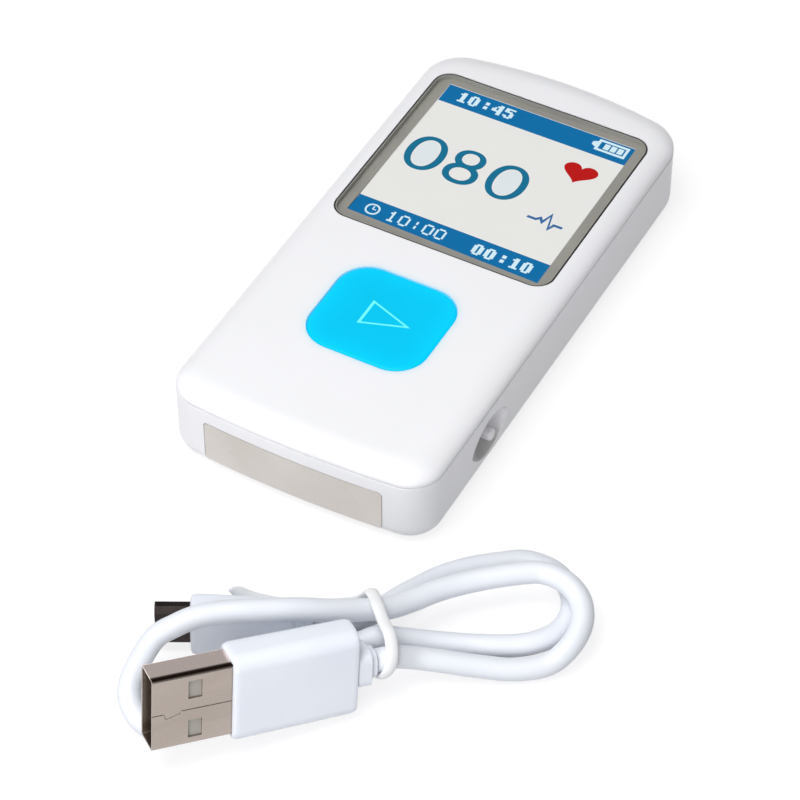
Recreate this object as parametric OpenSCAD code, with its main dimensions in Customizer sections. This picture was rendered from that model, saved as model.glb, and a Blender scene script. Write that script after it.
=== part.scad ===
// Pocket ECG monitor with its charging cable folded beside it.
// Millimetres. The origin is under the middle of the monitor, +Y points to the display end, +Z up.

/* [Body] */
// Width of the monitor
body_w = 45; // [44:1:60]
// Length of the monitor
body_l = 93; // [90:1:115]
// Height of the monitor
body_h = 14.5; // [14.5:0.5:20]
// Thickness of the housing wall
wall = 1.6; // [1.4:0.1:2]
// Height of the seam between the two shells, below the face
seam_drop = 2.5; // [2.3:0.1:3]
// Radius of the bow of the front end
front_bow_r = 200; // [120:10:400]
// Radius of the bow of the display end
top_bow_r = 87; // [70:1:200]
// Corner radius at the front end, seen from above
front_corner_r = 5.5; // [5:0.5:8]
// Corner radius at the display end, seen from above
top_corner_r = 7; // [6:0.5:9]
// How far the shoulder reaches in over the face
shoulder_in = 4.5; // [2:0.1:4.8]
// Radius of the lower edge
bottom_r = 3; // [2:0.25:4]

/* [Display] */
// Width of the lit area
screen_w = 34; // [28:0.5:36]
// Length of the lit area
screen_l = 35.6; // [30:0.5:37]
// Distance from the display end to the middle of the lit area
screen_from_end = 27.5; // [27:0.5:32]
// Window border beside the lit area
window_side = 2.3; // [2:0.1:2.8]
// Window border above the lit area
window_above = 1.5; // [1.2:0.1:2]
// Window border below the lit area
window_below = 1.8; // [1.2:0.1:3]
// Corner radius of the window
window_corner_r = 3; // [1:0.5:5]
// Thickness of the window
window_t = 1; // [0.8:0.1:1.2]

/* [Button] */
// Width of the button
button_w = 20.1; // [14:0.1:24]
// Length of the button
button_l = 19; // [14:0.1:23]
// Corner radius of the button
button_corner_r = 5.3; // [2:0.1:6]
// Distance from the front end to the middle of the button
button_from_end = 28.6; // [26:0.5:34]
// How far the button travels
button_travel = 0.5; // [0.3:0.1:0.6]
// Gap between the button and its hole
button_gap = 0.15; // [0.1:0.05:0.3]

/* [Electrodes] */
// Width of the front electrode
front_electrode_w = 30.5; // [20:0.5:32]
// Width of the electrode in the display end
top_electrode_w = 25; // [18:0.5:27]
// Height of both end electrodes
electrode_h = 7.6; // [5:0.1:8]
// Height of the middle of the end electrodes
electrode_z = 5.7; // [5:0.1:6]
// Thickness of the electrode plates
electrode_t = 0.5; // [0.4:0.1:0.6]
// Width of the back electrode
back_electrode_w = 24; // [16:1:28]
// Length of the back electrode
back_electrode_l = 14; // [10:1:15]

/* [Strap scoop] */
// Length of the scoop in the side
scoop_l = 12; // [8:0.5:13]
// Depth of the scoop at its middle
scoop_r = 3.6; // [3:0.1:3.8]
// Distance from the front end to the middle of the scoop
scoop_from_end = 21.7; // [20:0.5:30]
// Height of the middle of the scoop
scoop_z = 6.4; // [5.8:0.1:6.6]
// Diameter of the strap bar
strap_bar_d = 2; // [1.6:0.1:2.2]

/* [Inside] */
// Width of the battery
battery_w = 31; // [24:1:31]
// Length of the battery
battery_l = 42; // [30:1:44]
// Thickness of the battery
battery_t = 4; // [3:0.5:5]
// Foam under the battery
battery_foam_t = 0.4; // [0.3:0.1:0.6]
// Height of the underside of the main board
board_z = 7.2; // [7:0.1:7.6]
// Thickness of the main board
board_t = 1; // [0.8:0.1:1.2]
// Diameter of the case screws
screw_d = 1.9; // [1.6:0.1:2.2]
// Distance from the front end to the charging socket
socket_from_end = 48.5; // [40:0.5:60]

/* [Cable] */
// Diameter of the cord
cord_d = 3.4; // [3:0.1:3.4]
// Width of the wire tie
tie_w = 1.9; // [1.4:0.1:1.9]
// Thickness of the wire tie
tie_t = 1; // [0.7:0.1:1]
// USB-A plug: width of the metal shell
usb_a_shell_w = 12; // [11:0.5:12]
// USB-A plug: thickness of the metal shell
usb_a_shell_t = 4.5; // [4:0.1:4.6]
// USB-A plug: metal shell outside the grip
usb_a_shell_out = 11.75; // [11:0.25:13]
// USB-A plug: length of the grip
usb_a_grip_l = 19; // [14:0.5:19]
// Small plug: width of the metal shell
small_shell_w = 7.2; // [6:0.1:7.5]
// Small plug: thickness of the metal shell
small_shell_t = 1.85; // [1.8:0.05:3]
// Small plug: metal shell outside the grip
small_shell_out = 5.1; // [4.5:0.1:6]
// Small plug: length of the grip
small_grip_l = 15; // [12:0.5:15]

/* [Hidden] */
$fn = 64;

// Ends, levels and clearances that follow from the driving sizes
front_y = -body_l / 2;
top_y = body_l / 2;
seam_z = body_h - seam_drop;
seam_groove = 0.3;       // depth of the shadow line at the seam
seam_round = 0.35;       // height over which each shell rounds into that line
face_t = wall;
face_in_z = body_h - face_t;
slip = 0.1;              // clearance of a moulded fit
seat = 0.05;             // air left between faces that rest on each other
overcut = 1;             // how far a cut runs past the face it opens
shoulder_z = seam_z + seam_round;
corner_steps = 12;
bow_steps = 8;
edge_steps = 7;

// ---- General forms ----

function spline(points, steps) =
    let (n = len(points))
    concat(
        [for (i = [0 : n - 2], j = [0 : steps - 1])
            let (
                a = points[max(i - 1, 0)],
                b = points[i],
                c = points[i + 1],
                d = points[min(i + 2, n - 1)],
                t = j / steps)
            (2 * b + (c - a) * t + (2 * a - 5 * b + 4 * c - d) * t * t
                + (3 * b - a - 3 * c + d) * t * t * t) / 2],
        [points[n - 1]]);

function unit(v) = v / norm(v);

// A closed solid through rings that all have as many points, first to last
module loft(rings) {
    n = len(rings[0]);
    m = len(rings);
    points = [for (ring = rings) each ring];
    sides = [for (k = [0 : m - 2], i = [0 : n - 1])
        let (a = k * n + i, b = k * n + (i + 1) % n)
        each [[a, a + n, b + n], [a, b + n, b]]];
    first = [for (i = [0 : n - 1]) i];
    last = [for (i = [n - 1 : -1 : 0]) (m - 1) * n + i];
    polyhedron(points, concat([first, last], sides), convexity = 6);
}

// A round or flat tube: its size along the wide direction, which it keeps, and across it
module tube(path, size, wide, sides) {
    n = len(path);
    loft([for (k = [0 : n - 1])
        let (
            way = unit(path[min(k + 1, n - 1)] - path[max(k - 1, 0)]),
            side = unit(cross(way, wide)),
            up = cross(side, way))
        [for (i = [0 : sides - 1])
            let (a = 360 * (i + 0.5) / sides)
            path[k] + up * size[0] / 2 * cos(a) + side * size[1] / 2 * sin(a)]]);
}

// ---- Outline and skins of the housing ----

function arc_points(cx, cy, r, from, to, steps, last) =
    [for (i = [0 : last ? steps : steps - 1])
        let (a = from + (to - from) * i / steps)
        [cx + r * cos(a), cy + r * sin(a)]];

// Centre of each corner arc, which touches the side and the bowed end
front_bow_a = asin((body_w / 2 - front_corner_r) / (front_bow_r - front_corner_r));
top_bow_a = asin((body_w / 2 - top_corner_r) / (top_bow_r - top_corner_r));
front_corner_x = body_w / 2 - front_corner_r;
top_corner_x = body_w / 2 - top_corner_r;
front_bow_y = front_y + front_bow_r;
top_bow_y = top_y - top_bow_r;
front_corner_y = front_bow_y - (front_bow_r - front_corner_r) * cos(front_bow_a);
top_corner_y = top_bow_y + (top_bow_r - top_corner_r) * cos(top_bow_a);

// The outline seen from above, drawn in by an inset
function outline(inset) = concat(
    arc_points(0, front_bow_y, front_bow_r - inset, -90 - front_bow_a, -90 + front_bow_a,
        bow_steps, false),
    arc_points(front_corner_x, front_corner_y, front_corner_r - inset, -90 + front_bow_a, 0,
        corner_steps, true),
    arc_points(top_corner_x, top_corner_y, top_corner_r - inset, 0, 90 - top_bow_a,
        corner_steps, false),
    arc_points(0, top_bow_y, top_bow_r - inset, 90 - top_bow_a, 90 + top_bow_a,
        bow_steps, false),
    arc_points(-top_corner_x, top_corner_y, top_corner_r - inset, 90 + top_bow_a, 180,
        corner_steps, true),
    arc_points(-front_corner_x, front_corner_y, front_corner_r - inset, 180, 270 - front_bow_a,
        corner_steps, false));

// A closed skin through the outline at several [inset, height] levels, lowest first
module skin(levels) {
    loft([for (level = levels) [for (p = outline(level[0])) [p[0], p[1], level[1]]]]);
}

module slab(inset, z, h) {
    translate([0, 0, z])
        linear_extrude(h)
            polygon(outline(inset));
}

// Levels of a round lower edge and of the elliptic shoulder
function edge_levels(inset, r, z) =
    [for (i = [0 : edge_steps])
        let (a = 90 * i / edge_steps)
        [inset + r * (1 - sin(a)), z + r * (1 - cos(a))]];
function shoulder_levels(inset, reach, z, rise) =
    [for (i = [1 : edge_steps + 1])
        let (a = 90 * i / (edge_steps + 1))
        [inset + reach * (1 - cos(a)), z + rise * sin(a)]];

module rounded_rect(w, l, r) {
    square([w - 2 * r, l], center = true);
    square([w, l - 2 * r], center = true);
    for (x = [-1, 1], y = [-1, 1])
        translate([x * (w / 2 - r), y * (l / 2 - r)])
            circle(r);
}

module rounded_plate(w, l, r, z, h) {
    translate([0, 0, z])
        linear_extrude(h)
            rounded_rect(w, l, r);
}

module block(size, at) {
    translate([at[0] - size[0] / 2, at[1] - size[1] / 2, at[2]])
        cube(size);
}

// ---- Places inside the housing ----

screen_y = top_y - screen_from_end;
window_w = screen_w + 2 * window_side;
window_l = screen_l + window_above + window_below;
window_y = screen_y + (window_above - window_below) / 2;
window_sunk = 0.1;       // window face below the housing face
window_z = body_h - window_sunk - window_t;
adhesive_t = 0.1;
ledge_z = window_z - adhesive_t;
panel_border = 0.5;      // dead edge of the display panel above and below the lit area
panel_side = 0.7;        // and beside it
panel_w = screen_w + 2 * panel_side;
panel_l = screen_l + 2 * panel_border;
panel_t = 1.9;
panel_z = window_z - 3 * seat - panel_t;
panel_gap = 0.3;         // between the panel and the hole in the top shell
ledge_t = 1.2;
ledge_rim = 1.9;         // ledge frame beyond the hole
board_top = board_z + board_t;
board_inset = wall + 0.6;

button_y = front_y + button_from_end;
button_proud = 0.1;
flange_w = 0.9;          // retaining flange round the button
flange_t = 0.7;
flange_z = face_in_z - slip - flange_t;
guide_t = 0.8;
guide_drop = 1.5;
plunger_top = board_top + 2.7;
plunger_d = 3.4;
post_d = 4.4;
switch_size = 6;
switch_t = 2;
light_frame_t = 0.8;
light_frame_top = flange_z - button_travel - 0.3;
light_inset = [3.05, 3.5];  // from the button's edges to the middle of each light

scoop_y = front_y + scoop_from_end;
scoop_x = body_w / 2 - 0.1;
scoop_skin = 1.1;        // wall behind the scoop
scoop_steps = 16;
scoop_bow_r = (scoop_r * scoop_r + scoop_l * scoop_l / 4) / (2 * scoop_r);

tongue_h = 1.2;          // rim of the top shell that stands in the bottom shell
tongue_in = 0.85;        // outer wall left in front of it

pillar_d = 5.2;
boss_d = 4.6;
screw_head_d = 3.8;
screw_head_t = 1.4;
screw_head_z = 0.5;
screw_top = face_in_z - 1.2;
screw_places = [
    [-(body_w / 2 - 6.7), front_y + 6.9],
    [body_w / 2 - 6.7, front_y + 6.9],
    [-(top_corner_x - 0.3), top_corner_y + 2.3],
    [top_corner_x - 0.3, top_corner_y + 2.3],
];

battery_y = screen_y - 7;
battery_z = wall + battery_foam_t;
fence_t = 0.8;
fence_h = 2;
back_electrode_y = button_y - 8;
stud_d = 3;
stud_top = wall + 0.9;
tab_w = 4;
tab_t = 0.5;
tab_in = 3.2;            // how far a tab reaches inside the wall
tab_z = electrode_z - 0.5;
front_tab_x = 9;
top_tab_x = 7;
pin_d = 1.8;
pin_tip_d = 1.1;

socket_y = front_y + socket_from_end;
socket_w = 7.5;
socket_h = 2.6;
socket_l = 5.4;
socket_sheet = 0.3;
socket_mouth_x = -body_w / 2 + 0.6;
socket_z = board_z - socket_h;

// ---- Cable places, by the photograph ----

usb_a_at = [26.3, -74.5, 7.1];
usb_a_turn = [13, -8, 230];
usb_a_grip_w = [14.4, 14.3];      // at the cord and at the metal shell
usb_a_grip_t = [6, 6.8];
usb_a_relief_l = [2, 1];        // its two steps
usb_a_relief_w = [6, 4.4];
small_at = [14.4, -70.3, 4.75];
small_turn = [6, 0, 208];
small_grip_w = [7.8, 8.8];
small_grip_t = [5.2, 5.8];
small_relief_l = [1.4, 1.2];
small_relief_w = [4.8, 4.1];
cord_sides = 8;
cord_steps = 2;
tie_steps = 2;

function plug_way(turn) =
    [cos(turn[2]) * cos(turn[1]), sin(turn[2]) * cos(turn[1]), -sin(turn[1])];
function cord_exit(at, turn, relief, run) =
    at - plug_way(turn) * (relief[0] + relief[1] + 0.02 + run);

// One fold of the cord: part of a circle seen from above, easing from one height to another
function fold(at, r, from, to, z, ease, steps) =
    [for (i = [0 : steps])
        let (share = i / steps, a = from + (to - from) * share)
        [at[0] + r * cos(a), at[1] + r * sin(a), z[0] + (z[1] - z[0]) * pow(share, ease)]];

// The cord from the small plug round three folds to the USB-A plug
cord_rest_z = cord_d / 2 + 0.1;
cord_points = concat(
    [cord_exit(small_at, small_turn, small_relief_l, cord_d)],
    [[21.6, -64.6, 4.1], [23.2, -61.2, 3.5], [24.5, -57.2, 3], [25.8, -53.6, 2.3],
     [27.4, -50.1, 1.9], [30, -46.8, 1.8]],
    fold([39.6, -48.9], 8, 140, -50, [cord_rest_z, cord_rest_z], 1, 6),
    [[41, -57.6, 1.8], [36, -60, 1.8], [31.4, -62.4, 2.4], [28.2, -64.8, 3.8], [25.9, -66.9, 5],
     [23.3, -69.5, 4], [19.6, -73.2, 2.4], [15.6, -77.4, 1.8], [12.4, -81.4, 1.8],
     [10.6, -85.2, 1.8]],
    fold([4.7, -89.1], 5.7, 0, -180, [cord_rest_z, 5.6], 2, 6),
    [[-0.5, -84.4, 8], [1.8, -82, 9.8], [4.3, -79.7, 10.8], [7.8, -77.2, 11.2],
     [11.4, -74.9, 11.1], [15.8, -71.8, 10.6], [19.4, -68.9, 9.3], [22.1, -66.3, 8.2],
     [25.4, -62.8, 6.9], [27.4, -59.5, 6.1], [30, -55.3, 5.8], [33.8, -51.2, 5.8]],
    fold([43.8, -52.3], 7.1, 135, -45, [6.1, 1.95], 3, 6),
    [[45, -60.4, 1.8], [40, -63, 2.5], [35.6, -65.2, 3.4], [32.4, -67.2, 4.4]],
    [cord_exit(usb_a_at, usb_a_turn, usb_a_relief_l, cord_d)]);

// The wire tie: its loose tip, the run behind the small plug, then once round the strands
tie_points = [
    [4.3, -71.4, 8.3], [5, -70.6, 7.2], [6.6, -69.7, 5.9], [9.6, -68.1, 4.8],
    [12.4, -66.3, 4.4], [15.2, -64.7, 4.3], [17.6, -63.5, 4.6], [19.8, -62.4, 5.2],
    [21.3, -62.1, 6.6], [22.9, -62.9, 9.2], [25.1, -65.2, 10.1], [27.2, -67.2, 9.7],
    [29.2, -69, 9.9], [30.4, -70.5, 9.2], [31.1, -71.8, 7.9], [30.8, -72.7, 6],
    [29.1, -71.6, 3.4], [26.6, -68.5, 1.6], [23.6, -64.8, 0.9], [20.8, -61.8, 1.5],
    [19.9, -61.2, 3.2], [20.1, -61.6, 4.8],
];

// ---- Housing ----

function bow_y(x, inset, end) = end < 0
    ? front_bow_y - sqrt(pow(front_bow_r - inset, 2) - x * x)
    : top_bow_y + sqrt(pow(top_bow_r - inset, 2) - x * x);

// A strip that follows the bow of one end between two insets
function bow_strip(w, outer, inner, end) = concat(
    [for (i = [0 : bow_steps]) let (x = w * (i / bow_steps - 0.5)) [x, bow_y(x, outer, end)]],
    [for (i = [bow_steps : -1 : 0]) let (x = w * (i / bow_steps - 0.5)) [x, bow_y(x, inner, end)]]);

// An end plate, or its pocket when grown, with small round corners seen from the end
module end_plate(w, outer, inner, end, grow) {
    intersection() {
        linear_extrude(body_h)
            polygon(bow_strip(w + 2 * grow, outer, inner, end));
        translate([0, body_l, electrode_z])
            rotate([90, 0, 0])
                linear_extrude(2 * body_l)
                    rounded_rect(w + 2 * grow, electrode_h + 2 * grow, 0.6 + grow);
    }
}

// The tabs behind an end plate, or their slots when grown
module end_tabs(tab_x, end, grow) {
    reach = wall + tab_in - electrode_t / 2;
    for (x = [-tab_x, tab_x])
        block([tab_w + 2 * grow, reach, tab_t + 2 * grow],
            [x, end * (body_l / 2 - electrode_t / 2 - reach / 2), tab_z - grow]);
}

// A boat-shaped hollow, deepest in the middle, or the skin behind it when grown
module scoop(grow) {
    r = scoop_bow_r + grow;
    half = acos((scoop_bow_r - scoop_r) / r);
    translate([scoop_x, scoop_y, scoop_z])
        rotate([90, 0, 0])
            rotate_extrude($fn = 96)
                polygon(concat([[0, -r * sin(half)]],
                    [for (i = [1 : scoop_steps - 1])
                        let (a = half * (2 * i / scoop_steps - 1))
                        [scoop_r - scoop_bow_r + r * cos(a), r * sin(a)]],
                    [[0, r * sin(half)]]));
}

// A flat profile in Y and Z, drawn out along X
module along_x(x, length) {
    translate([x, 0, 0])
        rotate([90, 0, 90])
            linear_extrude(length)
                children();
}

// The narrow D shape of the small plug and its socket
module small_profile(w, t) {
    cut = t * 0.45;
    polygon([[-w / 2, t / 2], [w / 2, t / 2], [w / 2, -t * 0.05],
        [w / 2 - cut, -t / 2], [-w / 2 + cut, -t / 2], [-w / 2, -t * 0.05]]);
}

rebate_z = seam_z - tongue_h - slip;

module bottom_shell() color("#f1f3f6") {
    difference() {
        union() {
            difference() {
                skin(concat(edge_levels(0, bottom_r, 0),
                    [[0, seam_z - seam_round], [0.07, seam_z - 0.13], [seam_groove, seam_z]]));
                skin(concat(edge_levels(wall, bottom_r - wall + 0.4, wall),
                    [[wall, body_h]]));
                slab(tongue_in, rebate_z, body_h);
            }
            intersection() {
                slab(wall / 2, wall / 2, board_z - wall / 2);
                union() {
                    for (place = screw_places)
                        translate([place[0], place[1], 0])
                            cylinder(d = pillar_d, h = body_h);
                    difference() {
                        block([battery_w + 2 * fence_t + 4 * slip, battery_l + 2 * fence_t + 4 * slip,
                            wall + fence_h], [0, battery_y, 0]);
                        block([battery_w + 4 * slip, battery_l + 4 * slip, body_h],
                            [0, battery_y, wall]);
                        block([battery_w / 2, body_l, body_h], [0, battery_y, wall]);
                    }
                }
            }
            intersection() {
                slab(wall / 2, wall / 2, rebate_z - wall / 2);
                scoop(scoop_skin);
            }
        }
        scoop(0);
        for (place = screw_places)
            translate([place[0], place[1], -overcut]) {
                cylinder(d = screw_d + 3 * slip, h = body_h);
                cylinder(d = screw_head_d + 4 * slip, h = overcut + screw_head_z + screw_head_t);
            }
        end_plate(front_electrode_w, -overcut, electrode_t + seat, -1, slip);
        end_tabs(front_tab_x, -1, slip);
        end_plate(top_electrode_w, -overcut, electrode_t + seat, 1, slip);
        end_tabs(top_tab_x, 1, slip);
        translate([0, back_electrode_y, 0]) {
            rounded_plate(back_electrode_w + 2 * slip, back_electrode_l + 2 * slip, 3,
                -overcut, overcut + electrode_t);
            cylinder(d = stud_d + 2 * slip, h = 2 * wall);
        }
        translate([0, socket_y, socket_z + socket_h / 2])
            along_x(-body_w / 2 - overcut, overcut + 2 * wall)
                rounded_rect(socket_w + 4 * slip, socket_h + 4 * slip, 0.7);
    }
    translate([body_w / 2 - strap_bar_d / 2 - slip, scoop_y, scoop_z - scoop_r - 2 * slip])
        cylinder(d = strap_bar_d, h = 2 * scoop_r + 4 * slip);
}

module top_shell() color("#f4f6f9") {
    hole_w = panel_w + 2 * panel_gap;
    hole_l = panel_l + 2 * panel_gap;
    guide_in = 2 * (flange_w + button_gap);
    difference() {
        union() {
            difference() {
                skin(concat([[seam_groove, seam_z], [0.07, seam_z + 0.13], [0, shoulder_z]],
                    shoulder_levels(0, shoulder_in, shoulder_z, body_h - shoulder_z)));
                skin(concat([[wall, seam_z - overcut], [wall, seam_z]],
                    shoulder_levels(wall, shoulder_in - wall / 2, seam_z, face_in_z - seam_z)));
            }
            difference() {
                slab(tongue_in + slip, seam_z - tongue_h, tongue_h + seam_round);
                slab(wall + slip, seam_z - body_h, 2 * body_h);
            }
            translate([0, screen_y, 0])
                rounded_plate(hole_w + 2 * ledge_rim, hole_l + 2 * ledge_rim, 1,
                    ledge_z - ledge_t, ledge_t);
            translate([0, button_y, 0])
                rounded_plate(button_w + guide_in + 2 * guide_t, button_l + guide_in + 2 * guide_t,
                    button_corner_r + guide_t, face_in_z - guide_drop, guide_drop + slip);
            for (place = screw_places)
                translate([place[0], place[1], board_top])
                    cylinder(d = boss_d, h = face_in_z + slip - board_top);
        }
        translate([0, window_y, 0])
            rounded_plate(window_w + 2 * slip, window_l + 2 * slip, window_corner_r + slip,
                ledge_z, body_h);
        translate([0, screen_y, 0])
            rounded_plate(hole_w, hole_l, 0.5, 0, body_h);
        translate([0, button_y, 0]) {
            rounded_plate(button_w + 2 * button_gap, button_l + 2 * button_gap,
                button_corner_r + button_gap, 0, 2 * body_h);
            rounded_plate(button_w + guide_in, button_l + guide_in,
                button_corner_r + flange_w + button_gap, 0, face_in_z);
        }
        for (place = screw_places)
            translate([place[0], place[1], 0])
                cylinder(d = screw_d + slip, h = screw_top + 2 * slip);
    }
}

// ---- Display ----

module display_window() color("#8a8a84") {
    translate([0, window_y, 0])
        rounded_plate(window_w, window_l, window_corner_r, window_z, window_t);
}

module window_adhesive() color("#222222") {
    translate([0, 0, ledge_z])
        linear_extrude(adhesive_t)
            difference() {
                translate([0, window_y])
                    rounded_rect(window_w, window_l, window_corner_r);
                translate([0, screen_y])
                    rounded_rect(panel_w + 2 * panel_gap, panel_l + 2 * panel_gap, 0.5);
            }
}

// Backlight with the glass on it, which is a little smaller
module display_panel() color("#e6e7e4") {
    backlight_t = panel_t / 2;
    block([panel_w, panel_l, backlight_t], [0, screen_y, panel_z]);
    block([screen_w + panel_border, screen_l + panel_border, panel_t],
        [0, screen_y, panel_z]);
}

module display_carrier() color("white") {
    rim = 1.2;
    difference() {
        block([panel_w, panel_l, panel_z - board_top], [0, screen_y, board_top]);
        block([panel_w - 2 * rim, panel_l - 2 * rim, panel_z - rim], [0, screen_y, 0]);
    }
}

ribbon_w = 14;
ribbon_t = 0.2;
ribbon_run = 0.5;
ribbon_top_z = panel_z + 3 * ribbon_t;
ribbon_low_z = board_top + ribbon_t;
ribbon_r = [1.2, 0.6];
ribbon_start_y = screen_y - panel_l / 2;
ribbon_bend_y = ribbon_start_y - ribbon_run;
ribbon_foot_y = ribbon_bend_y - ribbon_r[0] - ribbon_r[1];
ribbon_end_y = ribbon_foot_y - 0.8;

// One face of the ribbon seen from the side, from the panel down to the board
function ribbon_side(s) = concat(
    [[ribbon_start_y, ribbon_top_z + s]],
    arc_points(ribbon_bend_y, ribbon_top_z - ribbon_r[0], ribbon_r[0] + s, 90, 180, 8, true),
    arc_points(ribbon_foot_y, ribbon_low_z + ribbon_r[1], ribbon_r[1] - s, 0, -90, 8, true),
    [[ribbon_end_y, ribbon_low_z + s]]);

module display_ribbon() color("#c87a1e") {
    back = ribbon_side(-ribbon_t / 2);
    n = len(back);
    along_x(-ribbon_w / 2, ribbon_w)
        polygon(concat(ribbon_side(ribbon_t / 2), [for (i = [n - 1 : -1 : 0]) back[i]]));
}

module ribbon_connector() color("#2b2b2b") {
    depth = 2.4;
    block([ribbon_w + 2, depth, 1.1], [0, ribbon_end_y - depth / 2, board_top]);
}

// ---- Button ----

function rounded_outline(w, l, r, inset) = concat(
    arc_points(w / 2 - r, l / 2 - r, r - inset, 0, 90, 6, true),
    arc_points(-w / 2 + r, l / 2 - r, r - inset, 90, 180, 6, true),
    arc_points(-w / 2 + r, -l / 2 + r, r - inset, 180, 270, 6, true),
    arc_points(w / 2 - r, -l / 2 + r, r - inset, 270, 360, 6, true));

module power_button() color("#05c3f0") {
    cap_z = body_h + button_proud;
    levels = [[0, flange_z], [0, cap_z - 0.5], [0.07, cap_z - 0.22], [0.25, cap_z - 0.07], [0.6, cap_z]];
    translate([0, button_y, 0]) {
        loft([for (level = levels)
            [for (p = rounded_outline(button_w, button_l, button_corner_r, level[0]))
                [p[0], p[1], level[1]]]]);
        rounded_plate(button_w + 2 * flange_w, button_l + 2 * flange_w,
            button_corner_r + flange_w, flange_z, flange_t);
        translate([0, 0, plunger_top])
            cylinder(d = post_d, h = flange_z - plunger_top + slip);
    }
}

module switch_plunger() color("#303030") {
    translate([0, button_y, plunger_top - 1.3])
        cylinder(d = plunger_d, h = 1.3);
}

module tact_switch() color("#3a3a3c") {
    translate([0, button_y, 0])
        difference() {
            union() {
                block([switch_size, switch_size, switch_t], [0, 0, board_top]);
                for (x = [-1, 1], y = [-1, 1])
                    block([1.2, 0.8, 0.2], [x * (switch_size / 2 + 0.5), y * 2.2, board_top]);
            }
            translate([0, 0, board_top + 0.7])
                cylinder(d = plunger_d + 2 * slip, h = body_h);
        }
}

module button_light_frame() color("white") {
    w = button_w + 2 * flange_w;
    l = button_l + 2 * flange_w;
    r = button_corner_r + flange_w;
    translate([0, button_y, 0])
        difference() {
            rounded_plate(w, l, r, board_top, light_frame_top - board_top);
            rounded_plate(w - 2 * light_frame_t, l - 2 * light_frame_t, r - light_frame_t,
                0, body_h);
        }
}

module button_lights() color("#f5f3c8") {
    out = [button_w / 2 - light_inset[0], button_l / 2 - light_inset[1]];
    for (x = [-1, 1], y = [-1, 1])
        block([2, 1.2, 0.8], [x * out[0], button_y + y * out[1], board_top]);
}

// ---- Electrodes ----

module front_electrode() color("#cfc9c4") {
    end_plate(front_electrode_w, 0, electrode_t, -1, 0);
    end_tabs(front_tab_x, -1, 0);
}

module top_electrode() color("#cfc9c4") {
    end_plate(top_electrode_w, 0, electrode_t, 1, 0);
    end_tabs(top_tab_x, 1, 0);
}

module back_electrode() color("#cfc9c4") {
    translate([0, back_electrode_y, 0]) {
        rounded_plate(back_electrode_w, back_electrode_l, 3 - slip, 0, electrode_t);
        cylinder(d = stud_d, h = stud_top);
    }
}

// A sprung pin between the main board and what it touches
module contact_pin(x, y, z) {
    tip = (board_z - z) / 3;
    translate([x, y, z]) {
        cylinder(d = pin_tip_d, h = board_z - z);
        translate([0, 0, tip])
            cylinder(d = pin_d, h = board_z - z - tip);
    }
}

module contact_pins() color("#d9b25a") {
    pin_y = body_l / 2 - wall - tab_in + pin_d / 2 + slip;
    for (x = [-front_tab_x, front_tab_x])
        contact_pin(x, -pin_y, tab_z + tab_t);
    for (x = [-top_tab_x, top_tab_x])
        contact_pin(x, pin_y, tab_z + tab_t);
    contact_pin(0, back_electrode_y, stud_top);
}

// ---- Main board ----

module main_board() color("#1f6b3a") {
    notch_l = scoop_l + 2 * scoop_skin + 1;
    difference() {
        slab(board_inset, board_z, board_t);
        for (place = screw_places)
            translate([place[0], place[1], 0])
                cylinder(d = screw_d + 3 * slip, h = body_h);
        translate([body_w / 2 - scoop_r - scoop_skin - 4 * slip, scoop_y - notch_l / 2, 0])
            cube([body_w, notch_l, body_h]);
    }
}

// Each chip is [across, along, width, length, height], from the place that its circuit is laid round
display_chips = [[0, 2, 8, 8, 1], [-10, 9, 6, 5, 0.9], [9, -8, 3, 3, 1], [9, 5, 3.2, 1.5, 0.8],
    [-9, -7, 4, 4, 0.8], [0, 12, 2, 1.2, 0.6], [4, 12, 2, 1.2, 0.6]];
button_chips = [[-15, 5, 4, 4, 1], [14.2, 7, 3, 3, 1.3], [-15, -2, 2, 1.2, 0.6], [-15, -5, 2, 1.2, 0.6]];
shield_at = [-5.5, front_y + 10.5];
buzzer_at = [7.2, front_y + 9.8];

module board_chips() color("#26282b") {
    for (chip = display_chips)
        block([chip[2], chip[3], chip[4]], [chip[0], screen_y + chip[1], board_top]);
    for (chip = button_chips)
        block([chip[2], chip[3], chip[4]], [chip[0], button_y + chip[1], board_top]);
    block([5, 5, 0.9], [shield_at[0], shield_at[1], board_top]);
}

module shield_can() color("#b9bdc2") {
    size = [12, 10, 1.8];
    sheet = 0.2;
    difference() {
        block(size, [shield_at[0], shield_at[1], board_top]);
        block([size[0] - 2 * sheet, size[1] - 2 * sheet, size[2]],
            [shield_at[0], shield_at[1], board_top - sheet]);
    }
}

module buzzer() color("#1c1c1e") {
    translate([buzzer_at[0], buzzer_at[1], board_top])
        difference() {
            cylinder(d = 9, h = 2.4);
            translate([0, 0, 1.4])
                cylinder(d = 1.8, h = 2);
        }
}

// ---- Power ----

battery_front_y = battery_y - battery_l / 2;
strip_l = 1.6;           // folded seal of the battery pouch
lead_d = 0.9;
lead_r = 1;
lead_x = 9;
lead_z = battery_z + battery_t / 2;

module battery() color("#c3c8cf") {
    translate([0, battery_y, 0])
        rounded_plate(battery_w, battery_l, 1.5, battery_z, battery_t);
    block([battery_w - 3, strip_l + slip, 0.6],
        [0, battery_front_y - strip_l / 2 + slip / 2, lead_z - 0.3]);
}

module battery_foam() color("#3b3b3b") {
    block([battery_w - 4, battery_l - 4, battery_foam_t], [0, battery_y, wall]);
}

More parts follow.
